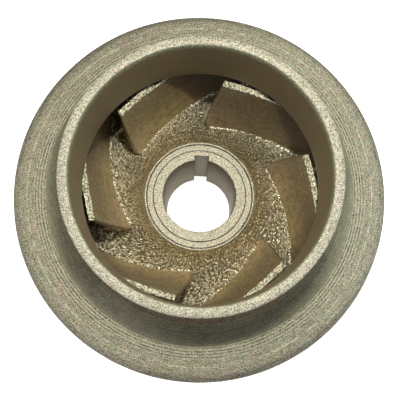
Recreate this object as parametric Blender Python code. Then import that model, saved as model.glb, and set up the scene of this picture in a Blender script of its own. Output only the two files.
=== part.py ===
"""Closed centrifugal pump impeller in cast bronze, seen from its suction eye.

The frame is in metres with +Z up the shaft axis towards the eye. Its origin is the centre of the
hub's back end, on which the impeller stands, and the keyway lies towards +Y.
"""

import math

import bmesh
import bpy
from mathutils import Vector, geometry

# Driving dimensions, in metres
RIM_RADIUS = 0.0762
BORE_RADIUS = 0.015875
KEY_WIDTH = 0.00635
KEYWAY_DEPTH = 0.0021
HUB_RADIUS = 0.0241
HUB_FACE_Z = 0.0436
FLOOR_Z = 0.0317
BACK_SHROUD_THICKNESS = 0.0035
EYE_RADIUS = 0.0464
NECK_RADIUS = 0.0501
NECK_FACE_Z = 0.0931
RIM_TOP_Z = 0.05875
RIM_THICKNESS = 0.0031
VANE_COUNT = 6
VANE_THICKNESS = 0.0027

# Meridional profiles
JOINT_Z = 0.0718
EYE_MOUTH_Z = 0.0683
UNDERSIDE_RADIUS = 0.0623
UNDERSIDE_Z = 0.0562
FLARE_END_RADIUS = 0.0625
FLARE_END_Z = 0.0602
FLARE_SWEEP = math.radians(60.0)
FLOOR_START_Z = 0.0424
FLOOR_FLAT_RADIUS = 0.0485
FLOOR_HUB_HANDLE = (0.0363, 0.0398)
FLOOR_RIM_HANDLE = (0.0375, FLOOR_Z)
VANE_TOP_Z = 0.0635

# Hub details
FACE_RECESS_INNER = 0.0202
FACE_RECESS_OUTER = 0.0230
FACE_RECESS_DEPTH = 0.0003
BORE_CHAMFER = 0.0005
BACK_FILLET = 0.0050

# Vane plan: the face towards the hub at its root and at its top, as Bezier curves in the XY plane
LEADING_ROOT_RADIUS = 0.0324
LEADING_ROOT_ANGLE = math.radians(148.3)
LEADING_TOP_RADIUS = 0.0439
LEADING_TOP_ANGLE = math.radians(140.5)
TRAILING_ANGLE = math.radians(46.2)
ROOT_START_SLOPE = math.radians(65.2)
ROOT_END_SLOPE = math.radians(-14.3)
ROOT_HANDLES = (0.0346, 0.0388)
TOP_START_SLOPE = math.radians(47.4)
TOP_END_SLOPE = math.radians(-20.3)
TOP_HANDLES = (0.0386, 0.0387)

# Fineness and clearances
GAP = 0.0003
STEPS = 72
SHARP_ANGLE = math.radians(30.0)
CURVE_POINTS = 8
VANE_STATIONS = 20
VANE_ROWS = 4
VANE_OVERRUN = 0.12


def clear_scene():
    """Empty the file of objects, so that the script gives the same result each run."""
    for leftover in list(bpy.data.objects):
        bpy.data.objects.remove(leftover, do_unlink=True)


def bronze(name, colour, roughness):
    """A Principled material of the cast or turned bronze."""
    material = bpy.data.materials.new(name)
    material.use_nodes = True
    shader = material.node_tree.nodes["Principled BSDF"]
    shader.inputs["Base Color"].default_value = (*colour, 1.0)
    shader.inputs["Roughness"].default_value = roughness
    shader.inputs["Metallic"].default_value = 1.0
    return material


def polar(radius, angle):
    """The plan point at a radius and an angle from +X."""
    return Vector((radius * math.cos(angle), radius * math.sin(angle), 0.0))


def quarter_curve(centre, across, down, start, end):
    """Points of an ellipse, as (radius, z), where a quarter turn runs from its left end to its bottom."""
    angles = [start + (end - start) * i / CURVE_POINTS for i in range(CURVE_POINTS + 1)]
    return [(centre[0] - across * math.cos(a), centre[1] - down * math.sin(a)) for a in angles]


def floor_profile():
    """The hub side of the water passage, from the hub out to the rim."""
    curve = geometry.interpolate_bezier(
        Vector((HUB_RADIUS + GAP, FLOOR_START_Z)),
        Vector(FLOOR_HUB_HANDLE),
        Vector(FLOOR_RIM_HANDLE),
        Vector((FLOOR_FLAT_RADIUS, FLOOR_Z)),
        CURVE_POINTS + 2,
    )
    return [(point.x, point.y) for point in curve] + [(RIM_RADIUS, FLOOR_Z)]


def underside_profile():
    """The eye side of the water passage, from the throat out to the rim."""
    centre = (UNDERSIDE_RADIUS, EYE_MOUTH_Z)
    across = UNDERSIDE_RADIUS - EYE_RADIUS
    curve = quarter_curve(centre, across, EYE_MOUTH_Z - UNDERSIDE_Z, 0.0, math.pi / 2)
    return curve + [(RIM_RADIUS, RIM_TOP_Z - RIM_THICKNESS)]


def flare_profile():
    """The outside of the front shroud, from the neck down to the edge of its turned face."""
    across = (FLARE_END_RADIUS - NECK_RADIUS) / (1.0 - math.cos(FLARE_SWEEP))
    down = (JOINT_Z - FLARE_END_Z) / math.sin(FLARE_SWEEP)
    return quarter_curve((NECK_RADIUS + across, JOINT_Z), across, down, 0.0, FLARE_SWEEP)


def height_at(profile, radius):
    """The height of a profile at a radius, on the straight pieces between its points."""
    for (r0, z0), (r1, z1) in zip(profile, profile[1:]):
        if radius <= r1:
            return z0 + (z1 - z0) * max(radius - r0, 0.0) / (r1 - r0)
    return profile[-1][1]


def shifted(profile, distance):
    """A profile moved along its normals, to the left of its direction where the distance is positive."""
    moved = []
    for index, (radius, z) in enumerate(profile):
        before = profile[max(index - 1, 0)]
        after = profile[min(index + 1, len(profile) - 1)]
        along = Vector((after[0] - before[0], after[1] - before[1])).normalized()
        moved.append((radius - along.y * distance, z + along.x * distance))
    return moved


def radius_at(profile, z):
    """The radius at which a falling profile crosses a height."""
    for (r0, z0), (r1, z1) in zip(profile, profile[1:]):
        if z1 <= z <= z0:
            return r0 + (r1 - r0) * (z0 - z) / (z0 - z1)
    raise ValueError("the profile doesn't reach this height")


def turned(name, outline, material=None):
    """A solid of revolution about Z, spun from its closed outline and shaded smooth between its corners."""
    mesh = bpy.data.meshes.new(name)
    shape = bmesh.new()
    corners = [shape.verts.new((radius, 0.0, z)) for radius, z in outline]
    edges = [shape.edges.new(pair) for pair in zip(corners, corners[1:] + corners[:1])]
    bmesh.ops.spin(
        shape, geom=corners + edges, cent=(0, 0, 0), axis=(0, 0, 1), angle=math.tau, steps=STEPS, use_merge=True
    )
    bmesh.ops.recalc_face_normals(shape, faces=shape.faces)
    shape.to_mesh(mesh)
    shape.free()
    mesh.shade_smooth()
    mesh.set_sharp_from_angle(angle=SHARP_ANGLE)
    solid = bpy.data.objects.new(name, mesh)
    bpy.context.collection.objects.link(solid)
    if material:
        mesh.materials.append(material)
    return solid


def cutter(solid):
    """Mark an object as a helper that the render leaves out."""
    solid.hide_render = True
    solid.display_type = "WIRE"
    return solid


def add_boolean(solid, operand, operation):
    """Cut or trim a solid by another."""
    step = solid.modifiers.new(operation.title(), "BOOLEAN")
    step.operation = operation
    step.solver = "EXACT"
    step.object = operand


def build_hub(material):
    """The boss with the shaft's bore, its shallow face recess and the keyway."""
    outline = [
        (HUB_RADIUS, HUB_FACE_Z),
        (HUB_RADIUS, 0.0),
        (BORE_RADIUS + BORE_CHAMFER, 0.0),
        (BORE_RADIUS, BORE_CHAMFER),
        (BORE_RADIUS, HUB_FACE_Z - BORE_CHAMFER),
        (BORE_RADIUS + BORE_CHAMFER, HUB_FACE_Z),
        (FACE_RECESS_INNER, HUB_FACE_Z),
        (FACE_RECESS_INNER, HUB_FACE_Z - FACE_RECESS_DEPTH),
        (FACE_RECESS_OUTER, HUB_FACE_Z - FACE_RECESS_DEPTH),
        (FACE_RECESS_OUTER, HUB_FACE_Z),
    ]
    hub = turned("hub", outline, material)
    bpy.ops.mesh.primitive_cube_add(size=1.0)
    slot = bpy.context.active_object
    slot.name = "keyway_cutter"
    reach = BORE_RADIUS + KEYWAY_DEPTH
    slot.dimensions = (KEY_WIDTH, reach, HUB_FACE_Z * 2.0)
    slot.location = (0.0, reach / 2.0, HUB_FACE_Z / 2.0)
    add_boolean(hub, cutter(slot), "DIFFERENCE")
    return hub


def build_back_shroud(material):
    """The disc behind the vanes, whose floor curves up to the hub."""
    back_z = FLOOR_Z - BACK_SHROUD_THICKNESS
    inner = HUB_RADIUS + GAP
    outline = floor_profile()
    outline += [(RIM_RADIUS, back_z), (inner + BACK_FILLET, back_z), (inner, back_z - BACK_FILLET)]
    return turned("back_shroud", outline, material)


def build_front_shroud(material):
    """The disc in front of the vanes, flared into the suction neck."""
    underside = underside_profile()
    outline = [(NECK_RADIUS, JOINT_Z)] + flare_profile()[1:]
    outline += [(RIM_RADIUS - RIM_THICKNESS / 4.0, RIM_TOP_Z), (RIM_RADIUS, RIM_TOP_Z - RIM_THICKNESS / 3.0)]
    outline += underside[::-1] + [(EYE_RADIUS, JOINT_Z)]
    return turned("front_shroud", outline, material)


def build_suction_neck(material):
    """The turned collar round the eye, which runs in the casing's wear ring."""
    outline = [
        (NECK_RADIUS, NECK_FACE_Z),
        (NECK_RADIUS, JOINT_Z + GAP),
        (EYE_RADIUS, JOINT_Z + GAP),
        (EYE_RADIUS, NECK_FACE_Z - BORE_CHAMFER),
        (EYE_RADIUS + BORE_CHAMFER, NECK_FACE_Z),
    ]
    return turned("suction_neck", outline, material)


def passage_envelope():
    """The space that a vane may fill between the two shrouds and, inside the throat, below the eye core."""
    floor = shifted(floor_profile(), GAP)
    underside = shifted(underside_profile(), -GAP)
    outline = [(HUB_RADIUS + GAP, VANE_TOP_Z), (radius_at(underside, VANE_TOP_Z), VANE_TOP_Z)]
    outline += [point for point in underside if point[1] < VANE_TOP_Z] + floor[::-1]
    return cutter(turned("passage_envelope", outline))


def plan_curve(start, start_slope, end, end_slope, handles):
    """A Bezier curve in plan between two points, leaving and arriving at given slopes."""
    leaving = start + polar(handles[0], start_slope)
    arriving = end - polar(handles[1], end_slope)
    return geometry.interpolate_bezier(start, leaving, arriving, end, VANE_STATIONS)


def vane_rulings():
    """Pairs of points, on the floor and under the front shroud, that the face towards the hub runs between."""
    trailing = polar(RIM_RADIUS + VANE_THICKNESS, TRAILING_ANGLE)
    roots = plan_curve(
        polar(LEADING_ROOT_RADIUS, LEADING_ROOT_ANGLE), ROOT_START_SLOPE, trailing, ROOT_END_SLOPE, ROOT_HANDLES
    )
    tops = plan_curve(
        polar(LEADING_TOP_RADIUS, LEADING_TOP_ANGLE), TOP_START_SLOPE, trailing, TOP_END_SLOPE, TOP_HANDLES
    )
    floor = floor_profile()
    underside = underside_profile()
    for root, top in zip(roots, tops):
        root.z = height_at(floor, root.length)
        top.z = min(VANE_TOP_Z, height_at(underside, top.length))
    return list(zip(roots, tops))


def vane_sheet():
    """The face towards the hub as a grid, run on past the floor and the shroud so that trimming leaves no gap."""
    sheet = bmesh.new()
    rulings = vane_rulings()
    bmesh.ops.create_grid(sheet, x_segments=len(rulings) - 1, y_segments=VANE_ROWS, size=0.5)
    for vertex in sheet.verts:
        root, top = rulings[round((vertex.co.x + 0.5) * (len(rulings) - 1))]
        rise = (vertex.co.y + 0.5) * (1.0 + 2.0 * VANE_OVERRUN) - VANE_OVERRUN
        vertex.co = root.lerp(top, rise)
    mesh = bpy.data.meshes.new("vane_sheet")
    sheet.to_mesh(mesh)
    sheet.free()
    return mesh


def build_vanes(material):
    """Six like vanes, each thickened from the sheet away from the hub and trimmed to the passage."""
    sheet = vane_sheet()
    sheet.materials.append(material)
    envelope = passage_envelope()
    for index in range(VANE_COUNT):
        vane = bpy.data.objects.new(f"vane_{index + 1}", sheet)
        bpy.context.collection.objects.link(vane)
        vane.rotation_euler.z = -math.tau * index / VANE_COUNT
        wall = vane.modifiers.new("Thickness", "SOLIDIFY")
        wall.thickness = VANE_THICKNESS
        wall.offset = -1.0
        wall.use_even_offset = True
        add_boolean(vane, envelope, "INTERSECT")


def main():
    clear_scene()
    turned_bronze = bronze("turned_bronze", (0.52, 0.47, 0.33), 0.45)
    cast_bronze = bronze("cast_bronze", (0.30, 0.23, 0.14), 0.6)
    shroud_bronze = bronze("shroud_bronze", (0.34, 0.32, 0.24), 0.55)
    build_hub(turned_bronze)
    build_suction_neck(turned_bronze)
    build_front_shroud(shroud_bronze)
    build_back_shroud(cast_bronze)
    build_vanes(cast_bronze)


main()
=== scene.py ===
"""The looks of a closed bronze pump impeller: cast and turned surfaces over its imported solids.

Lengths are in metres. +Z runs up the shaft towards the suction eye, and the keyway lies towards +Y.
"""

import bisect
import math

import bpy
from mathutils import Euler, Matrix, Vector, geometry


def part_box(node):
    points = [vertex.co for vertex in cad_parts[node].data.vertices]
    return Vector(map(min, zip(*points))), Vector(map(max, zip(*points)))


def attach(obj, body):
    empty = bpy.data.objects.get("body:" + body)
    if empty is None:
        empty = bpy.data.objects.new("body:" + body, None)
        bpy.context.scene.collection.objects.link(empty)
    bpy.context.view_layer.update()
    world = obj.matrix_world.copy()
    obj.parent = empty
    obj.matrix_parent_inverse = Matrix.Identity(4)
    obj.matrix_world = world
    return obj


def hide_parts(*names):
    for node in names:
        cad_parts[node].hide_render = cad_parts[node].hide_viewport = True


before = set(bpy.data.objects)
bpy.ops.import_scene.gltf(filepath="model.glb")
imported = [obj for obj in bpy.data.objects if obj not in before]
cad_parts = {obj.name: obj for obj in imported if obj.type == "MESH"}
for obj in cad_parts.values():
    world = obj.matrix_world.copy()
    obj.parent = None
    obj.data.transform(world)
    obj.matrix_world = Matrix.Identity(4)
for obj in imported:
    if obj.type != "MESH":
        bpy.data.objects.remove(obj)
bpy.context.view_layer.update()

# Sizes taken from the solids, which stand a gap apart
GAP = 0.0003
HUB_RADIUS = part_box("hub")[1].x
HUB_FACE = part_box("hub")[1].z
RIM_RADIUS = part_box("back_shroud")[1].x
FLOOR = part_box("vane_1")[0].z - GAP
VANE_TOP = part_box("vane_1")[1].z
NECK_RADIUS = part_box("suction_neck")[1].x
NECK_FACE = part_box("suction_neck")[1].z
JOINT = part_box("front_shroud")[1].z + GAP / 2

# Sizes that the boxes don't show, as the solids have them. Curves and ends are (radius, height), and the
# crown is how far the rim's rounding reaches across and down
BORE_RADIUS = 0.015875
KEY_WIDTH = 0.00635
KEYWAY_REACH = 0.017975
RECESS_RADII = (0.0202, 0.0230)
RECESS_DEPTH = 0.0003
DISC_BACK = FLOOR - 0.0035
FLOOR_CURVE = ((0.0244, 0.0424), (0.0363, 0.0398), (0.0375, FLOOR), (0.0485, FLOOR))
EYE_RADIUS = 0.0464
MOUTH_HEIGHT = 0.0683
UNDERSIDE_END = (0.0623, 0.0562)
FLARE_END = (0.0625, 0.0602)
FLARE_SWEEP = 60
RIM_TOP = 0.05875
RIM_THICKNESS = 0.0031
RIM_CROWN = (0.0042, 0.0016)

# A vane's face towards the hub in plan, at its root and its top: where it starts, as (radius, angle), and the
# handles of its curve at the start and at the rim, as (length, angle)
ROOT_CURVE = ((0.0324, 148.3), (0.0346, 65.2), (0.0388, -14.3))
TOP_CURVE = ((0.0439, 140.5), (0.0386, 47.4), (0.0387, -20.3))
TRAILING_ANGLE = 46.2
VANE_COUNT = 6
VANE_THICKNESS = 0.0027
VANE_REACH = RIM_RADIUS - 0.0001

# What the looks add to the solids. A tool line is (radius, half width, depth)
TOOL_LINES = (
    (0.06307, 0.00016, 0.00006), (0.06427, 0.00012, 0.00004), (0.06547, 0.00016, 0.00006),
    (0.06680, 0.00012, 0.00003), (0.06966, 0.00010, 0.00003), (0.07115, 0.00010, 0.00003),
)
CAST_LUMP = 0.00055
FOOT_FILLET = 0.0009
HEAD_FILLET = 0.0010
EDGE_ROUND = 0.0006
NOSE_FOOT = 0.036
NOSE_REACH = 0.0004
NOSE_BULGE = 0.0011
TOE_HEIGHT = 0.0048
TOE_BACK = 0.0022
INLET_THINNING = 0.27
EMBEDDED = 0.0003

# How finely the pieces are divided. The rows at a vane's foot and head are in millimetres from there, HOLD
# is a short step beside a corner that keeps a flat face's shading flat, and SHORT_WAY is a share of a vane
TURNS = 240
FLOOR_TURNS = 560
HOLD = 0.00004
FOOT_ROWS = (-0.4, -0.1, 0.06, 0.16, 0.3, 0.48, 0.7, 1.0)
HEAD_ROWS = (1.3, 0.8, 0.5, 0.3, 0.12, 0.0)
WALL_ROWS = 26
STRIP_ROWS = 8
STATIONS = 230
STATION_SPREAD = 1.25
SHORT_WAY = 0.01


# Modelling by hand

def deselect():
    if bpy.context.mode != "OBJECT":
        bpy.ops.object.mode_set(mode="OBJECT")
    bpy.ops.object.select_all(action="DESELECT")


def edit(piece):
    deselect()
    bpy.context.view_layer.objects.active = piece
    piece.select_set(True)
    bpy.ops.object.mode_set(mode="EDIT")
    bpy.ops.mesh.select_all(action="SELECT")


def close_up(piece):
    """Merge what lies on itself, turn the faces outwards and smooth all but the sharp corners."""
    edit(piece)
    bpy.ops.mesh.remove_doubles(threshold=0.000002)
    bpy.ops.mesh.select_all(action="SELECT")
    bpy.ops.mesh.normals_make_consistent(inside=False)
    bpy.ops.object.mode_set(mode="OBJECT")
    bpy.ops.object.shade_smooth_by_angle(angle=math.radians(35))


def turn(name, outline, steps=TURNS):
    """Draw a closed outline of (radius, height) by extruding one vertex, and spin it about the shaft."""
    deselect()
    bpy.ops.mesh.primitive_plane_add(size=0.001, location=(outline[0][0], 0, outline[0][1]))
    piece = bpy.context.active_object
    piece.name = name
    bpy.ops.object.transform_apply(location=True, rotation=True, scale=True)
    edit(piece)
    bpy.ops.mesh.merge(type="CENTER")
    for before, after in zip(outline, outline[1:] + outline[:1]):
        step = (after[0] - before[0], 0, after[1] - before[1])
        bpy.ops.mesh.extrude_region_move(TRANSFORM_OT_translate={"value": step})
    bpy.ops.mesh.select_all(action="SELECT")
    bpy.ops.mesh.remove_doubles(threshold=0.000001)
    bpy.ops.mesh.select_all(action="SELECT")
    bpy.ops.mesh.spin(steps=steps, angle=math.tau, center=(0, 0, 0), axis=(0, 0, 1))
    close_up(piece)
    return piece


def apply_modifier(piece, kind, **settings):
    deselect()
    bpy.context.view_layer.objects.active = piece
    piece.select_set(True)
    modifier = piece.modifiers.new(kind.title(), kind)
    for setting, value in settings.items():
        setattr(modifier, setting, value)
    bpy.ops.object.modifier_apply(modifier=modifier.name)


def roughen(piece, height, grain, weight):
    """Raise cast lumps of a height and a grain size, by a weight for each place and normal."""
    group = piece.vertex_groups.new(name="cast")
    for vertex in piece.data.vertices:
        amount = weight(vertex.co, vertex.normal)
        if amount > 0:
            group.add([vertex.index], amount, "REPLACE")
    clouds = bpy.data.textures.new("cast_lumps", "CLOUDS")
    clouds.noise_scale = grain
    clouds.noise_depth = 2
    apply_modifier(piece, "DISPLACE", texture=clouds, texture_coords="LOCAL", strength=height, mid_level=0.5,
                   vertex_group="cast")


def along(start, end, count):
    """Points of a straight run, without its last one."""
    return [(start[0] + (end[0] - start[0]) * i / count, start[1] + (end[1] - start[1]) * i / count)
            for i in range(count)]


def oval(centre, across, up, start, end, count):
    """Points of an elliptic arc, as (radius, height), between two angles in degrees."""
    turns = [math.radians(start + (end - start) * i / count) for i in range(count + 1)]
    return [(centre[0] + across * math.cos(a), centre[1] + up * math.sin(a)) for a in turns]


def outer_corner(radius, level, size, top=True):
    """The rounded corner at which an outer wall meets a piece's top, or its bottom."""
    if top:
        return oval((radius - size, level - size), size, size, 90, 0, 4)
    return oval((radius - size, level + size), size, size, 0, -90, 4)


def grooved(start, end, grooves):
    """A straight run outwards with V grooves, each (radius, half width, depth), cut down into it."""
    points = [start]
    for radius, half, depth in grooves:
        share = (radius - start[0]) / (end[0] - start[0])
        level = start[1] + (end[1] - start[1]) * share
        points += [(radius - half - HOLD, level), (radius - half, level), (radius, level - depth)]
        points += [(radius + half, level), (radius + half + HOLD, level)]
    return points + [end]


def halved_down(test, low, high, halvings=30):
    """Where a test that holds at low stops holding on the way to high."""
    for _ in range(halvings):
        middle = (low + high) / 2
        if test(middle):
            low = middle
        else:
            high = middle
    return (low + high) / 2


def polar(radius, degrees):
    return Vector((radius * math.cos(math.radians(degrees)), radius * math.sin(math.radians(degrees)), 0.0))


def distance_out(point):
    return math.hypot(point.x, point.y)


# Water passage

def floor_curve(count):
    corners = [Vector(corner) for corner in FLOOR_CURVE]
    return [(point.x, point.y) for point in geometry.interpolate_bezier(*corners, count)]


def underside_curve(count):
    across = UNDERSIDE_END[0] - EYE_RADIUS
    return oval((UNDERSIDE_END[0], MOUTH_HEIGHT), across, MOUTH_HEIGHT - UNDERSIDE_END[1], 180, 270, count)


FLOOR_LINE = floor_curve(80) + [(RIM_RADIUS * 1.1, FLOOR)]
UNDERSIDE_LINE = underside_curve(80) + [(RIM_RADIUS, RIM_TOP - RIM_THICKNESS)]
UNDERSIDE_LINE.append((RIM_RADIUS * 1.1, UNDERSIDE_LINE[-1][1]))


def level_of(line, radius):
    """The height of a line of (radius, height) points, level past its ends."""
    after = min(max(bisect.bisect_left(line, (radius,)), 1), len(line) - 1)
    (r0, z0), (r1, z1) = line[after - 1], line[after]
    return z0 + (z1 - z0) * min(max((radius - r0) / (r1 - r0), 0.0), 1.0)


def floor_level(radius):
    return level_of(FLOOR_LINE, radius)


def roof_level(radius):
    """The height of a vane's top: free inside the throat, under the front shroud outside it."""
    if radius < EYE_RADIUS:
        return VANE_TOP
    return min(VANE_TOP, level_of(UNDERSIDE_LINE, radius))


# Pieces

def make_hub():
    """The boss, with a V groove at each edge of its shallow recess, and its keyway cut by a block."""
    bevel = 0.0006
    half, depth = 0.0002, 0.0004
    inner, outer = RECESS_RADII
    recess = HUB_FACE - RECESS_DEPTH
    outline = [(BORE_RADIUS, HUB_FACE - 0.0005), (BORE_RADIUS + 0.0002, HUB_FACE - 0.0001),
               (BORE_RADIUS + 0.0005, HUB_FACE)]
    outline += [(inner - half, HUB_FACE), (inner, recess - depth), (inner + half, recess)]
    outline += [(outer - half, recess), (outer, recess - depth), (outer + half, HUB_FACE - 0.0001)]
    outline += [(HUB_RADIUS - 0.0003, HUB_FACE), (HUB_RADIUS - 0.0001, HUB_FACE - 0.0001)]
    outline += along((HUB_RADIUS, HUB_FACE - 0.0003), (HUB_RADIUS, FLOOR), 8)
    outline += [(HUB_RADIUS, FLOOR), (HUB_RADIUS, bevel), (HUB_RADIUS - bevel, 0.0)]
    outline += [(BORE_RADIUS + bevel, 0.0), (BORE_RADIUS, bevel)]
    piece = turn("hub_boss", outline)
    bpy.ops.mesh.primitive_cube_add(size=1, location=(0, KEYWAY_REACH / 2, HUB_FACE / 2),
                                    scale=(KEY_WIDTH, KEYWAY_REACH, HUB_FACE * 2))
    block = bpy.context.active_object
    apply_modifier(piece, "BOOLEAN", operation="DIFFERENCE", solver="EXACT", object=block)
    bpy.data.objects.remove(block)
    close_up(piece)
    return piece


def make_neck():
    """The collar, with its mouth's inner edge rounded."""
    across, down = 0.0007, 0.0009
    outline = oval((EYE_RADIUS + across, NECK_FACE - down), across, down, 180, 90, 6)
    outline += outer_corner(NECK_RADIUS, NECK_FACE, 0.0004)
    outline += along((NECK_RADIUS, NECK_FACE - 0.0006), (NECK_RADIUS, JOINT), 12)
    outline += [(NECK_RADIUS, JOINT), (EYE_RADIUS, JOINT)]
    outline += along((EYE_RADIUS, JOINT), (EYE_RADIUS, NECK_FACE - 0.0010), 12)[1:]
    return turn("suction_collar", outline)


def make_front_shroud():
    """The flare below the collar, the face with its tool lines, the crowned rim and the underside."""
    sweep = math.radians(FLARE_SWEEP)
    across = (FLARE_END[0] - NECK_RADIUS) / (1 - math.cos(sweep))
    down = (JOINT - FLARE_END[1]) / math.sin(sweep)
    outline = oval((NECK_RADIUS + across, JOINT), across, down, 180, 180 + FLARE_SWEEP, 24)
    outline.append((FLARE_END[0] + HOLD, FLARE_END[1] - HOLD * 0.1))
    wide, high = RIM_CROWN
    crown = RIM_RADIUS - wide
    outline += grooved(outline[-1], (crown, RIM_TOP), TOOL_LINES)[1:]
    outline += oval((crown, RIM_TOP - high), wide, high, 90, 0, 12)[1:]
    outline += outer_corner(RIM_RADIUS, RIM_TOP - RIM_THICKNESS, 0.0004, top=False)
    outline += underside_curve(40)[::-1] + [(EYE_RADIUS, JOINT)]
    return turn("front_disc", outline)


def make_back_shroud():
    """The floor, curving up to the hub, the disc's back, and the fillet behind it round the boss."""
    inner = HUB_RADIUS - 0.0001
    size = 0.0050
    outline = [(inner, FLOOR_CURVE[0][1])] + floor_curve(70)
    outline += along((FLOOR_CURVE[3][0] + 0.0005, FLOOR), (0.0752, FLOOR), 50)
    outline += outer_corner(RIM_RADIUS, FLOOR, 0.0005)
    outline += outer_corner(RIM_RADIUS, DISC_BACK, 0.0006, top=False)
    outline += along((0.0750, DISC_BACK), (0.0300, DISC_BACK), 10)[1:]
    outline += oval((0.0294, DISC_BACK - size), size, size, 90, 180, 10)
    outline += [(inner, DISC_BACK - size)]
    piece = turn("back_disc", outline, steps=FLOOR_TURNS)
    roughen(piece, CAST_LUMP, 0.0012, rough_on_floor)
    return piece


def vane_plan(curve, share):
    """A point in plan on the root or top line of the face towards the hub."""
    (radius, angle), (leave, leave_slope), (arrive, arrive_slope) = curve
    start = polar(radius, angle)
    end = polar(RIM_RADIUS + VANE_THICKNESS, TRAILING_ANGLE)
    corners = (start, start + polar(leave, leave_slope), end - polar(arrive, arrive_slope), end)
    left = 1 - share
    weights = (left ** 3, 3 * left * left * share, 3 * left * share * share, share ** 3)
    return sum((corner * weight for corner, weight in zip(corners, weights)), Vector())


def ruling(share):
    """The foot and head of the face towards the hub at a share of its length."""
    foot = vane_plan(ROOT_CURVE, share)
    head = vane_plan(TOP_CURVE, share)
    foot.z = floor_level(foot.length)
    head.z = roof_level(head.length)
    return foot, head


def side_lines(share):
    """Each face's ruling at a share of the length, with the directions in which it faces at its two ends."""
    foot, head = ruling(share)
    earlier = ruling(share - SHORT_WAY)
    later = ruling(share + SHORT_WAY)
    away = []
    for end in (0, 1):
        across = (later[end] - earlier[end]).cross(head - foot).normalized()
        away.append(across if across.z < 0 else -across)
    behind = foot + away[0] * VANE_THICKNESS, head + away[1] * VANE_THICKNESS
    return (foot, head, -away[0], -away[1]), (*behind, away[0], away[1])


def crossing(start, step, level, low, high):
    """The share of a line at which it meets a surface given by its level at each radius."""
    def above(share):
        point = start + step * share
        return point.z > level(distance_out(point))
    side = above(low)
    return halved_down(lambda share: above(share) == side, low, high)


def fillet(height, radius):
    """How far a fillet stands out from a wall at a height above its foot."""
    if height >= radius:
        return 0.0
    rest = radius - max(height, 0.0)
    return radius - math.sqrt(max(radius * radius - rest * rest, 0.0))


def wall(line, covered):
    """The points of one face at a station, from below the floor to its top edge."""
    foot, head, away_foot, away_head = line
    step = head - foot
    low = crossing(foot, step, floor_level, -0.4, 0.5)
    high = crossing(foot, step, roof_level, 0.5, 1.5)
    span = step.length
    shares = [low + row * 0.001 / span for row in FOOT_ROWS]
    top = [high - row * 0.001 / span for row in HEAD_ROWS]
    gap = top[0] - shares[-1]
    shares += [shares[-1] + gap * i / WALL_ROWS for i in range(1, WALL_ROWS)] + top
    points = []
    for share in shares:
        away = away_foot.lerp(away_head, share).normalized()
        out = fillet((share - low) * span, FOOT_FILLET) + covered * fillet((high - share) * span, HEAD_FILLET)
        out -= (1 - covered) * fillet((high - share) * span, EDGE_ROUND)
        points.append(foot + step * share + away * out)
    return points


def toe(point, share, onward):
    """A point near the nose's lower corner, drawn back along the vane so that the corner is round."""
    level = floor_level(distance_out(point))
    height = point.z - level
    rest = 1 - min(max(height / TOE_HEIGHT, 0.0), 1.0)
    back = TOE_BACK * max(1 - share / 0.08, 0.0) ** 2 * (1 - math.sqrt(1 - rest ** 2))
    if back == 0:
        return point
    moved = point + onward * back
    moved.z += floor_level(distance_out(moved)) - level
    return moved


def section(share, thin=0.0):
    """A closed ring of points round the vane at a station, drawn towards its middle by thin, from 0 to 1."""
    front, behind = side_lines(share)
    covered = min(max((distance_out(front[1]) - EYE_RADIUS - 0.001) / 0.003, 0.0), 1.0)
    near = wall(front, covered)
    far = wall(behind, covered)
    slim = 1 - INLET_THINNING * max(1 - share / 0.2, 0.0)
    far = [a + (b - a) * slim for a, b in zip(near, far)]
    onward = ruling(share + SHORT_WAY)[0] - front[0]
    onward.z = 0
    onward.normalize()
    near = [toe(point, share, onward) for point in near]
    far = [toe(point, share, onward) for point in far]
    if covered > 0:
        rise = Vector((0, 0, EMBEDDED * covered))
        near[-1] = near[-1] + rise
        far[-1] = far[-1] + rise
    middle = [(a + b) / 2 for a, b in zip(near, far)]
    near = [a.lerp(m, thin) for a, m in zip(near, middle)]
    far = [b.lerp(m, thin) for b, m in zip(far, middle)]
    strip = [near[-1].lerp(far[-1], i / STRIP_ROWS) for i in range(1, STRIP_ROWS)]
    ring = near + strip + far[::-1] + [(near[0] + far[0]) / 2]
    return [to_rim(point) for point in ring + [ring[0]]]


def nose_ring(turned_by):
    """The ring of the rounded inlet edge at an angle in degrees from the wall to its tip."""
    angle = math.radians(turned_by)
    ring = []
    for point, inside in zip(section(0.0, thin=math.sin(angle) ** 3), section(SHORT_WAY)):
        height = min(max((point.z - NOSE_FOOT) / (VANE_TOP - NOSE_FOOT), 0.0), 1.0)
        reach = NOSE_REACH + NOSE_BULGE * math.sin(math.pi * height) ** 0.7
        ring.append(point + (point - inside).normalized() * reach * math.sin(angle))
    return ring


def to_rim(point, always=False):
    """A point drawn in to the rim's radius, as the lathe leaves the vane's end."""
    radius = distance_out(point)
    if radius < VANE_REACH and not always:
        return point
    return Vector((point.x * VANE_REACH / radius, point.y * VANE_REACH / radius, point.z))


def make_vane():
    """The first vane: rings placed on a grid, because a twisted wall can't be spun or extruded."""
    rings = [nose_ring(degrees) for degrees in (90, 75, 60, 45, 30, 15)]
    last = halved_down(lambda share: vane_plan(ROOT_CURVE, share).length < VANE_REACH, 0.5, 1.0, 29)
    rings += [section((i / STATIONS) ** STATION_SPREAD * last) for i in range(STATIONS + 1)]
    for thin in (0.0, 0.35, 0.7, 1.0):
        rings.append([to_rim(point, always=True) for point in section(last, thin=thin)])
    around = len(rings[0])
    deselect()
    bpy.ops.mesh.primitive_grid_add(x_subdivisions=len(rings) - 1, y_subdivisions=around - 1, size=1)
    piece = bpy.context.active_object
    piece.name = "swept_vane_1"
    for vertex in piece.data.vertices:
        station = round((vertex.co.x + 0.5) * (len(rings) - 1))
        place = round((vertex.co.y + 0.5) * (around - 1))
        vertex.co = rings[station][place]
    close_up(piece)
    roughen(piece, CAST_LUMP, 0.0008, rough_on_vane)
    return piece


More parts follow.
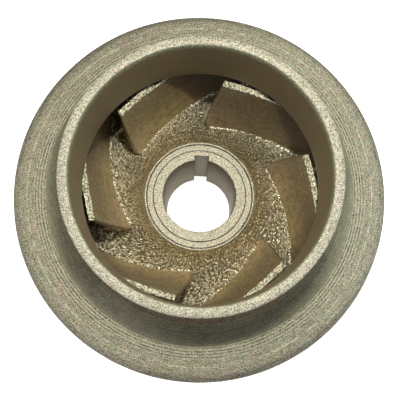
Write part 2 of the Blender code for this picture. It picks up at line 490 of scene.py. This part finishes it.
def turned_away(point, normal):
    """The side of a vane towards the rim, which gets the darker copy of the cast skin as painted shade."""
    return normal.x * point.x + normal.y * point.y > 0.15 * distance_out(point)


def on_free_edge(point, normal):
    return point.z > VANE_TOP - EDGE_ROUND and distance_out(point) < EYE_RADIUS + 0.002


def at_foot(point, normal):
    return point.z - floor_level(distance_out(point)) < FOOT_FILLET


def rough_on_vane(point, normal):
    """How lumpy the casting is: most along the foot and on the free top edge, hardly on the faces."""
    return 1.0 if at_foot(point, normal) or on_free_edge(point, normal) else 0.12


def on_floor(point, normal):
    return point.z > FLOOR - 0.0001


def rough_on_floor(point, normal):
    """Nothing beside the hub, and lumpy from 35 mm out."""
    if normal.z < 0.5 or not on_floor(point, normal):
        return 0.0
    return min(max((distance_out(point) - 0.027) / 0.008, 0.0), 1.0)


def copy_vane(first, index):
    """A copy with its own mesh, turned on round the shaft."""
    deselect()
    first.select_set(True)
    bpy.context.view_layer.objects.active = first
    bpy.ops.object.duplicate(linked=False)
    piece = bpy.context.active_object
    piece.name = f"swept_vane_{index + 1}"
    piece.rotation_euler.z = -math.tau * index / VANE_COUNT
    bpy.ops.object.transform_apply(location=False, rotation=True, scale=False)
    return piece


# Finishes

class Reading:
    """A number that varies over a surface. Arithmetic on it adds Math nodes."""

    def __init__(self, finish, socket):
        self.finish = finish
        self.socket = socket

    def worked(self, operation, first, second):
        return self.finish.node("ShaderNodeMath", {"operation": operation}, {0: first, 1: second})

    def __add__(self, other):
        return self.worked("ADD", self, other)

    def __radd__(self, other):
        return self.worked("ADD", other, self)

    def __sub__(self, other):
        return self.worked("SUBTRACT", self, other)

    def __rsub__(self, other):
        return self.worked("SUBTRACT", other, self)

    def __mul__(self, other):
        return self.worked("MULTIPLY", self, other)

    def __rmul__(self, other):
        return self.worked("MULTIPLY", other, self)

    def __truediv__(self, other):
        return self.worked("DIVIDE", self, other)

    def __rtruediv__(self, other):
        return self.worked("DIVIDE", other, self)

    def __pow__(self, other):
        return self.worked("POWER", self, other)


class Finish:
    """A material of the impeller and the readings that its patterns are made of."""

    def __init__(self, name, metallic):
        self.material = bpy.data.materials.new(name)
        self.material.use_nodes = True
        self.nodes = self.material.node_tree.nodes
        self.links = self.material.node_tree.links
        self.shader = self.nodes["Principled BSDF"]
        self.shader.inputs["Metallic"].default_value = metallic
        self.place = self.node("ShaderNodeTexCoord", output="Object")
        self.x, self.y, self.z = self.parts(self.place)
        self.radius = (self.x * self.x + self.y * self.y) ** 0.5

    def node(self, kind, settings=None, sockets=None, output=0):
        """Add a node, set its settings and then its sockets, and give one of its outputs."""
        made = self.nodes.new(kind)
        for setting, value in (settings or {}).items():
            setattr(made, setting, value)
        for name, value in (sockets or {}).items():
            self.plug(made.inputs[name], value)
        return Reading(self, made.outputs[output])

    def plug(self, socket, value):
        if isinstance(value, Reading):
            self.links.new(value.socket, socket)
        elif isinstance(value, tuple) and socket.type == "RGBA":
            socket.default_value = (*value, 1.0)
        else:
            socket.default_value = value

    def parts(self, vector):
        """The x, y and z of a vector."""
        made = self.node("ShaderNodeSeparateXYZ", {}, {0: vector}).socket.node
        return [Reading(self, output) for output in made.outputs]

    def grain(self, size, detail=2.0, roughness=0.6, place=None):
        """Noise from 0 to 1 whose grains are about a size across."""
        sockets = {"Vector": place or self.place, "Scale": 1.0 / size}
        return self.node("ShaderNodeTexNoise", {}, {**sockets, "Detail": detail, "Roughness": roughness})

    def patches(self, size, low, high, detail=1.0, roughness=0.6):
        """Soft-edged patches: 0 where the grain is below low, 1 where it is above high."""
        return self.step(self.grain(size, detail, roughness), low, high)

    def specks(self, size):
        """A tone from 0 to 1, another for each grain of the metal, about a size across."""
        grains = self.node("ShaderNodeTexVoronoi", {}, {"Vector": self.place, "Scale": 1.0 / size}, 1)
        return self.node("ShaderNodeSeparateColor", {}, {0: grains})

    def pebbles(self, size, place=None):
        """Rounded lumps about a size apart: 1 on their tops, falling to the creases between them."""
        sockets = {"Vector": place or self.place, "Scale": 1.0 / size, "Smoothness": 0.25}
        return 1 - self.node("ShaderNodeTexVoronoi", {"feature": "SMOOTH_F1"}, sockets)

    def drawn_out(self, size):
        """Pebbles of about that size at mid radius, drawn out along the water's way outwards."""
        sockets = {0: self.place, 3: self.radius * 14}
        swirl = self.node("ShaderNodeVectorRotate", {"rotation_type": "Z_AXIS"}, sockets)
        ring = self.node("ShaderNodeVectorMath", {"operation": "SCALE"}, {0: swirl, 3: 0.034 / self.radius})
        x, y, _ = self.parts(ring)
        return self.pebbles(size, self.node("ShaderNodeCombineXYZ", {}, {0: x, 1: y, 2: self.radius * 0.75}))

    def rings(self, size):
        """Noise that changes with the radius alone, as a lathe tool leaves it."""
        sockets = {"W": self.radius, "Scale": 1.0 / size, "Detail": 2.0, "Roughness": 0.7}
        return self.node("ShaderNodeTexNoise", {"noise_dimensions": "1D"}, sockets)

    def streaks(self, width, length):
        """Noise of a width across and, on the shroud's face, a length round the shaft."""
        around = 0.066 * width / length
        x, y = (value / self.radius * around for value in (self.x, self.y))
        place = self.node("ShaderNodeCombineXYZ", {}, {0: x, 1: y, 2: self.radius})
        return self.grain(width, 1.0, place=place)

    def wave(self, pitch, crest):
        """A wave along the radius, from -1 to 1, with a crest at a given radius."""
        angle = (self.radius - crest) * (math.tau / pitch)
        return self.node("ShaderNodeMath", {"operation": "COSINE"}, {0: angle})

    def side(self, degrees):
        """1 in one direction out from the shaft, falling to 0 on both sides of it, with a torn edge."""
        across = math.cos(math.radians(degrees))
        up = math.sin(math.radians(degrees))
        facing = (self.x * across + self.y * up) / self.radius
        return self.step(facing + self.grain(0.009) * 0.3, 0.75, 1.10)

    def under_shroud_shade(self):
        """1 under the front shroud, where the colour is darkened as painted shade, and 0 in the throat and
        near the rim.
        """
        return self.step(self.radius, 0.0445, 0.0490) * (1 - self.step(self.radius, 0.060, 0.070))

    def line(self, radius, half):
        """1 on a circle, falling to 0 at half a width on both sides."""
        away = self.node("ShaderNodeMath", {"operation": "ABSOLUTE"}, {0: self.radius - radius})
        return 1 - self.step(away, 0.0, half)

    def step(self, value, low, high):
        """0 below low, 1 above high, and smooth between them."""
        sockets = {"Value": value, "From Min": low, "From Max": high}
        return self.node("ShaderNodeMapRange", {"interpolation_type": "SMOOTHSTEP"}, sockets)

    def blend(self, share, first, second):
        """The first colour, with a share from 0 to 1 of the second."""
        return self.node("ShaderNodeMix", {"data_type": "RGBA"}, {0: share, 6: first, 7: second}, 2)

    def glow(self, colour, strength=1.0):
        self.shader.inputs["Emission Strength"].default_value = strength
        self.plug(self.shader.inputs["Emission Color"], colour)

    def finish(self, colour, roughness, height=None, depth=0.0):
        """Plug in a colour and a roughness, with a bump from a height that is multiplied by a depth."""
        self.plug(self.shader.inputs["Base Color"], colour)
        self.plug(self.shader.inputs["Roughness"], roughness)
        if height is not None:
            bump = self.node("ShaderNodeBump", {}, {"Distance": depth, "Height": height})
            self.plug(self.shader.inputs["Normal"], bump)
        return self.material


def turned_face(name, speck, dulled, shaded_circles=()):
    """Freshly turned end faces with dark pores, dulled by a share, and with painted shade along circles of
    given radii, where the steps of a recess fall in shade.
    """
    metal = Finish(name, 0.9)
    specks = metal.patches(speck, 0.38, 0.64)
    pores = metal.patches(0.00050, 0.32, 0.46)
    tint = metal.blend(metal.patches(0.0016, 0.36, 0.64), (0.548, 0.554, 0.446), (0.595, 0.525, 0.456))
    colour = metal.blend(specks * 0.72 + pores * 0.28, (0.089, 0.08, 0.051), tint)
    colour = metal.blend(dulled, colour, (0.0, 0.0, 0.0))
    shade_gaps = metal.patches(0.004, 0.30, 0.62)
    # Painted shade: dark lines along the given circles, broken in places
    for radius, half in shaded_circles:
        groove_shade = metal.line(radius, half) * (0.35 + shade_gaps * 0.65)
        colour = metal.blend(groove_shade, colour, (0.03, 0.024, 0.014))
    return metal.finish(colour, 0.60, metal.grain(0.00035), 0.00012)


def shroud_skin():
    """The shroud's turned face: grey green with bright specks, ringed at the tool's feed near the flare."""
    metal = Finish("shroud_skin", 1.0)
    fine = metal.patches(0.00038, 0.42, 0.64)
    feed = metal.wave(0.0012, 0.06248) * (1 - metal.step(metal.radius, 0.0660, 0.0685))
    streaks = metal.step(metal.streaks(0.0005, 0.006), 0.36, 0.64)
    line = metal.line(0.0703, 0.00045) * metal.patches(0.003, 0.35, 0.60)
    tone = metal.specks(0.00033) * 0.34 + fine * 0.38 + streaks * 0.12 + feed * 0.20 + line * 0.40 + 0.05
    tint = metal.blend(metal.patches(0.0020, 0.36, 0.64), (0.554, 0.57, 0.409), (0.64, 0.555, 0.441))
    colour = metal.blend(tone, (0.039, 0.036, 0.023), tint)
    return metal.finish(colour, 0.58, metal.grain(0.00035), 0.00012)


def flare_skin():
    """The turned hollow between the collar and the shroud's face: ringed, brown in its corner, and darker
    towards the collar as painted shade.
    """
    metal = Finish("flare_skin", 0.9)
    specks = metal.patches(0.00038, 0.40, 0.64)
    ring = metal.step(metal.rings(0.0009), 0.34, 0.66) * metal.patches(0.006, 0.30, 0.60)
    outer = metal.step(metal.radius, 0.0575, 0.0625)
    corner = (1 - metal.step(metal.radius, 0.0531, 0.0540)) * (1 - metal.step(metal.z, 0.070, 0.074))
    # Painted shade: the hollow is darker near the collar and lighter out towards the face
    tone = specks * 0.48 + ring * 0.26 + outer * 0.28 + 0.04
    light = metal.blend(tone, (0.083, 0.074, 0.046), (0.32, 0.304, 0.202))
    brown = metal.blend(specks, (0.064, 0.042, 0.026), (0.23, 0.174, 0.114))
    colour = metal.blend(corner * 0.8, light, brown)
    return metal.finish(colour, 0.52, metal.grain(0.00035) + ring * 0.3, 0.00007)


def edge_skin():
    """The green grey edges of the collar, where its corners are broken, darkened as painted shade on the
    rounded corners.
    """
    metal = Finish("edge_skin", 0.5)
    colour = metal.blend(metal.specks(0.00036), (0.125, 0.137, 0.082), (0.562, 0.562, 0.402))
    return metal.finish(colour, 0.6, metal.grain(0.0004), 0.0001)


def throat_skin():
    """The smooth brown wall inside the neck."""
    metal = Finish("throat_skin", 0.6)
    tone = metal.grain(0.0005) * 0.5 + metal.grain(0.008, 1.0) * 0.5
    colour = metal.blend(tone, (0.213, 0.17, 0.101), (0.316, 0.249, 0.154))
    return metal.finish(colour, 0.55, metal.grain(0.0006), 0.00002)


def cast_skin(name, shade):
    """As-cast faces: golden at the foot, with a golden painted highlight at the inlet, browner elsewhere, with
    painted shade deeper in the passage and under the shroud, and darkened by a share as painted shade.
    """
    metal = Finish(name, 0.5)
    fine = metal.patches(0.00045, 0.30, 0.70, 2.0, 0.7)
    broad = metal.patches(0.0035, 0.35, 0.65, 3.0)
    height = metal.step(metal.z + metal.grain(0.004) * 0.010, 0.042, 0.064)
    # Painted shade deeper in the passage, farther out from the shaft
    passage_shade = metal.step(metal.radius + metal.grain(0.003) * 0.008, 0.048, 0.057)
    # Painted highlight where the rounded inlet edge catches the light
    inlet = 1 - metal.step(metal.radius, 0.033, 0.041)
    light = metal.blend(height, (0.80, 0.635, 0.295), (0.342, 0.279, 0.135))
    dark = metal.blend(height, (0.279, 0.213, 0.095), (0.131, 0.104, 0.053))
    colour = metal.blend(fine * 0.8 + broad * 0.2, dark, light)
    # Stains and mottles, with painted light among them
    stains_and_painted_light = (
        (broad * 0.28, (0.198, 0.117, 0.085)),
        (passage_shade * 0.45, (0.099, 0.077, 0.07)),
        (inlet * 0.38, (0.648, 0.477, 0.3)),
        (metal.patches(0.0028, 0.46, 0.62, 2.0) * 0.45, (0.216, 0.113, 0.085)),
        (metal.patches(0.0042, 0.50, 0.64, 2.0) * 0.35, (0.198, 0.203, 0.105)),
        (metal.step(metal.specks(0.00046), 0.86, 0.98) * 0.30, (0.81, 0.684, 0.5)),
        # Painted shade under the front shroud
        (metal.under_shroud_shade() * 0.30, (0.07, 0.055, 0.04)),
        # Darker on one side of the impeller
        (metal.side(58) * 0.42, (0.081, 0.059, 0.045)),
        # Painted shade by the given share
        (shade, (0.027, 0.02, 0.018)),
    )
    for share, mark_colour in stains_and_painted_light:
        colour = metal.blend(share, colour, mark_colour)
    return metal.finish(colour, 0.60, metal.grain(0.0006, 3.0), 0.00030)


def bead_skin(name, low, high, crease, crest):
    """Rough bright metal at a vane's foot or free edge, of one colour in its creases and one on its crests:
    painted shade in the creases and a painted highlight on the crests.
    """
    metal = Finish(name, 0.5)
    beads = metal.pebbles(0.00085)
    colour = metal.blend(metal.step(beads, low, high), crease, crest)
    return metal.finish(colour, 0.45, beads, 0.0005)


def floor_skin():
    """The as-cast floor between the vanes: brown and smooth by the hub, brighter and lumpy further out, with a
    painted highlight on its lumps' crests, painted shade in their creases and painted shade under the shroud.
    """
    metal = Finish("floor_skin", 0.65)
    lumps = metal.drawn_out(0.00080)
    outward = metal.step(metal.radius + metal.grain(0.004, 1.0) * 0.006, 0.028, 0.042)
    # Painted highlight on the lumps' crests and painted shade in their creases
    tone = metal.step(lumps, 0.28, 0.66)
    rough = metal.blend(tone, (0.364, 0.302, 0.192), (0.91, 0.846, 0.662))
    smooth = metal.blend(tone, (0.164, 0.126, 0.063), (0.264, 0.203, 0.103))
    colour = metal.blend(outward, smooth, rough)
    # Painted shade under the front shroud
    colour = metal.blend(metal.under_shroud_shade() * 0.60, colour, (0.07, 0.055, 0.04))
    # Darker on one side of the impeller
    colour = metal.blend(metal.side(65) * 0.40, colour, (0.091, 0.072, 0.043))
    return metal.finish(colour, 0.40, lumps * (0.25 + outward * 0.75), 0.0015)


def bore_skin():
    """The smooth grey brown of the reamed bore and its keyway."""
    metal = Finish("bore_skin", 0.9)
    tone = metal.grain(0.0006)
    colour = metal.blend(tone, (0.077, 0.056, 0.019), (0.104, 0.075, 0.026))
    return metal.finish(colour, 0.5, tone, 0.00001)


# Where the finishes go

def paint(piece, *coats):
    """Give a piece its finishes, each on the faces that its test of place and normal picks."""
    piece.data.materials.clear()
    for number, (material, covers) in enumerate(coats):
        piece.data.materials.append(material)
        for face in piece.data.polygons:
            if covers is None or covers(face.center, face.normal):
                face.material_index = number


def faces_up(point, normal):
    return normal.z > 0.8


def in_bore(point, normal):
    return distance_out(point) < KEYWAY_REACH + 0.0003 and abs(normal.z) < 0.5 and point.z < HUB_FACE - 0.0006


def within_throat(point, normal):
    return distance_out(point) < EYE_RADIUS + 0.0002 and abs(normal.z) < 0.3


def broken_edge(point, normal):
    """The collar's outer corner, and the first 3 mm inside its mouth."""
    if distance_out(point) > NECK_RADIUS - 0.001:
        return 0.1 < normal.z < 0.8
    return point.z > NECK_FACE - 0.0030 and normal.z < 0.8


def on_flare(point, normal):
    return distance_out(point) < FLARE_END[0]


def on_underside(point, normal):
    return point.z < UNDERSIDE_END[1] + 0.0001 or normal.z < -0.2


def place(piece, node, slot):
    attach(piece, "root")
    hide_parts(node)


# Studio and camera

# Each softbox: its name, its azimuth and elevation from the impeller in degrees, its watts and its colour
SOFTBOXES = (
    ("low_right_softbox", 0, 12, 0.30, (0.93, 0.95, 1.0)),
    ("right_softbox", 0, 40, 1.20, (0.85, 0.94, 1.0)),
    ("far_right_softbox", 60, 40, 0.85, (1, 1, 1)),
    ("far_left_softbox", 120, 40, 0.14, (1, 1, 1)),
    ("low_left_softbox", 180, 15, 0.30, (1, 1, 1)),
    ("left_softbox", 180, 40, 0.32, (1, 1, 1)),
    ("high_left_softbox", 180, 65, 0.76, (1.0, 0.97, 0.89)),
    ("low_near_left_softbox", 235, 15, 0.18, (1, 1, 1)),
    ("near_left_softbox", 235, 40, 0.61, (0.89, 0.88, 1.0)),
    ("low_near_right_softbox", 300, 15, 0.19, (0.92, 0.92, 1.0)),
)
SOFTBOX_DISTANCE = 0.6
SOFTBOX_SIZE = 0.25
SOFTBOX_CENTRE = Vector((0, 0, 0.06))
NEAR_LAMP_PLACE = (0.009, 0.043, 0.344)
NEAR_LAMP_SIZE = 0.01
LAMP_TARGET = Vector((0, 0, 0.05))
WALL_RADIUS = 2.9
WALL_HEIGHT = 4

# The camera fitted to the circular edges in the photo
CAMERA_PLACE = (-0.0009, -0.04122, 0.27455)
CAMERA_TURN = (9.622, -0.88, 3.38)
FOCAL_LENGTH = 48.36
SENSOR_WIDTH = 36


def hang_light(name, location, size, power, colour):
    """A square lamp over the impeller, turned towards it."""
    lamp = bpy.data.lights.new(name, "AREA")
    lamp.color = colour
    lamp.shape = "SQUARE"
    lamp.size = size
    lamp.energy = power
    light = bpy.data.objects.new(name, lamp)
    light.location = location
    light.rotation_euler = (light.location - LAMP_TARGET).to_track_quat("Z", "Y").to_euler()
    light.visible_camera = False
    bpy.context.scene.collection.objects.link(light)


def make_studio():
    """A pale floor that glows, most of all under the bore, and a pale wall that only the camera sees."""
    deselect()
    bpy.ops.mesh.primitive_plane_add(size=6, location=(0, 0, -0.0002))
    floor = bpy.context.active_object
    floor.name = "studio_floor"
    white = Finish("pale_floor", 0.0)
    under_bore = 1 - white.step(white.radius, 0.024, 0.040)
    white.glow(white.blend(0.75 + under_bore * 0.25, (0, 0, 0), (1, 1, 1)))
    floor.data.materials.append(white.finish((0.9, 0.9, 0.9), 0.9))
    bpy.ops.mesh.primitive_cylinder_add(vertices=128, radius=WALL_RADIUS, depth=WALL_HEIGHT,
                                        end_fill_type="NOTHING", location=(0, 0, WALL_HEIGHT / 2 - 0.01))
    wall = bpy.context.active_object
    wall.name = "studio_wall"
    bpy.ops.object.shade_smooth()
    wall.visible_diffuse = False
    wall.visible_glossy = False
    pale = Finish("pale_wall", 0.0)
    pale.glow((1, 1, 1), 0.72)
    wall.data.materials.append(pale.finish((0.1, 0.1, 0.1), 0.9))


def light_studio():
    """A small lamp close above, whose shadows the throat and the vanes throw, and softboxes all round."""
    hang_light("near_lamp", NEAR_LAMP_PLACE, NEAR_LAMP_SIZE, 0.80, (1.0, 0.98, 0.83))
    for name, azimuth, elevation, power, colour in SOFTBOXES:
        away = Vector((SOFTBOX_DISTANCE, 0, 0))
        away.rotate(Euler((0, -math.radians(elevation), math.radians(azimuth))))
        hang_light(name, SOFTBOX_CENTRE + away, SOFTBOX_SIZE, power, colour)
    world = bpy.data.worlds.new("studio_air")
    world.use_nodes = True
    air = world.node_tree.nodes["Background"].inputs
    air["Color"].default_value = (0.9, 0.95, 1, 1)
    air["Strength"].default_value = 0.003
    bpy.context.scene.world = world
    bpy.context.scene.view_settings.view_transform = "Standard"


def make_camera():
    data = bpy.data.cameras.new("photo_camera")
    data.lens = FOCAL_LENGTH
    data.sensor_width = SENSOR_WIDTH
    data.clip_start = 0.01
    data.clip_end = 10
    camera = bpy.data.objects.new("photo_camera", data)
    camera.location = CAMERA_PLACE
    camera.rotation_euler = Euler([math.radians(angle) for angle in CAMERA_TURN])
    bpy.context.scene.collection.objects.link(camera)
    bpy.context.scene.camera = camera


# The impeller, piece by piece

turned = turned_face("turned_face", 0.00036, 0.14)
# The hub's recess edges get painted shade lines over their grooves
recess_shade_circles = ((RECESS_RADII[0], 0.00035), (RECESS_RADII[1], 0.00050))
hub_top = turned_face("hub_face", 0.00042, 0.0, recess_shade_circles)
shroud = shroud_skin()
flare = flare_skin()
# The collar's broken edges carry painted shade
edge_shade_coat = edge_skin()
throat = throat_skin()
cast = cast_skin("cast_skin", 0.0)
# A darker copy of the cast skin, painted shade for the vanes' sides towards the rim
shaded = cast_skin("shaded_cast_skin", 0.65)
# A darker copy of the cast skin, painted shade for the shroud's underside over the passages
roof_shade_coat = cast_skin("roof_skin", 0.75)
foot_beads = bead_skin("foot_beads", 0.42, 0.66, (0.20, 0.155, 0.08), (1.0, 1.0, 0.84))
edge_beads = bead_skin("edge_beads", 0.30, 0.66, (0.22, 0.20, 0.13), (0.68, 0.66, 0.50))
floor_coat = floor_skin()
bored = bore_skin()

hub = make_hub()
paint(hub, (hub_top, None), (bored, in_bore))
place(hub, "hub", "turned_bronze")
neck = make_neck()
paint(neck, (flare, None), (turned, faces_up), (throat, within_throat), (edge_shade_coat, broken_edge))
place(neck, "suction_neck", "turned_bronze")
front = make_front_shroud()
paint(front, (shroud, None), (flare, on_flare), (roof_shade_coat, on_underside), (throat, within_throat))
place(front, "front_shroud", "shroud_bronze")
back = make_back_shroud()
paint(back, (shroud, None), (floor_coat, on_floor))
place(back, "back_shroud", "cast_bronze")
first_vane = make_vane()
paint(first_vane, (cast, None), (shaded, turned_away), (foot_beads, at_foot), (edge_beads, on_free_edge))
vanes = [first_vane] + [copy_vane(first_vane, index) for index in range(1, VANE_COUNT)]
for index, vane in enumerate(vanes):
    place(vane, f"vane_{index + 1}", "cast_bronze")
make_studio()
light_studio()
make_camera()
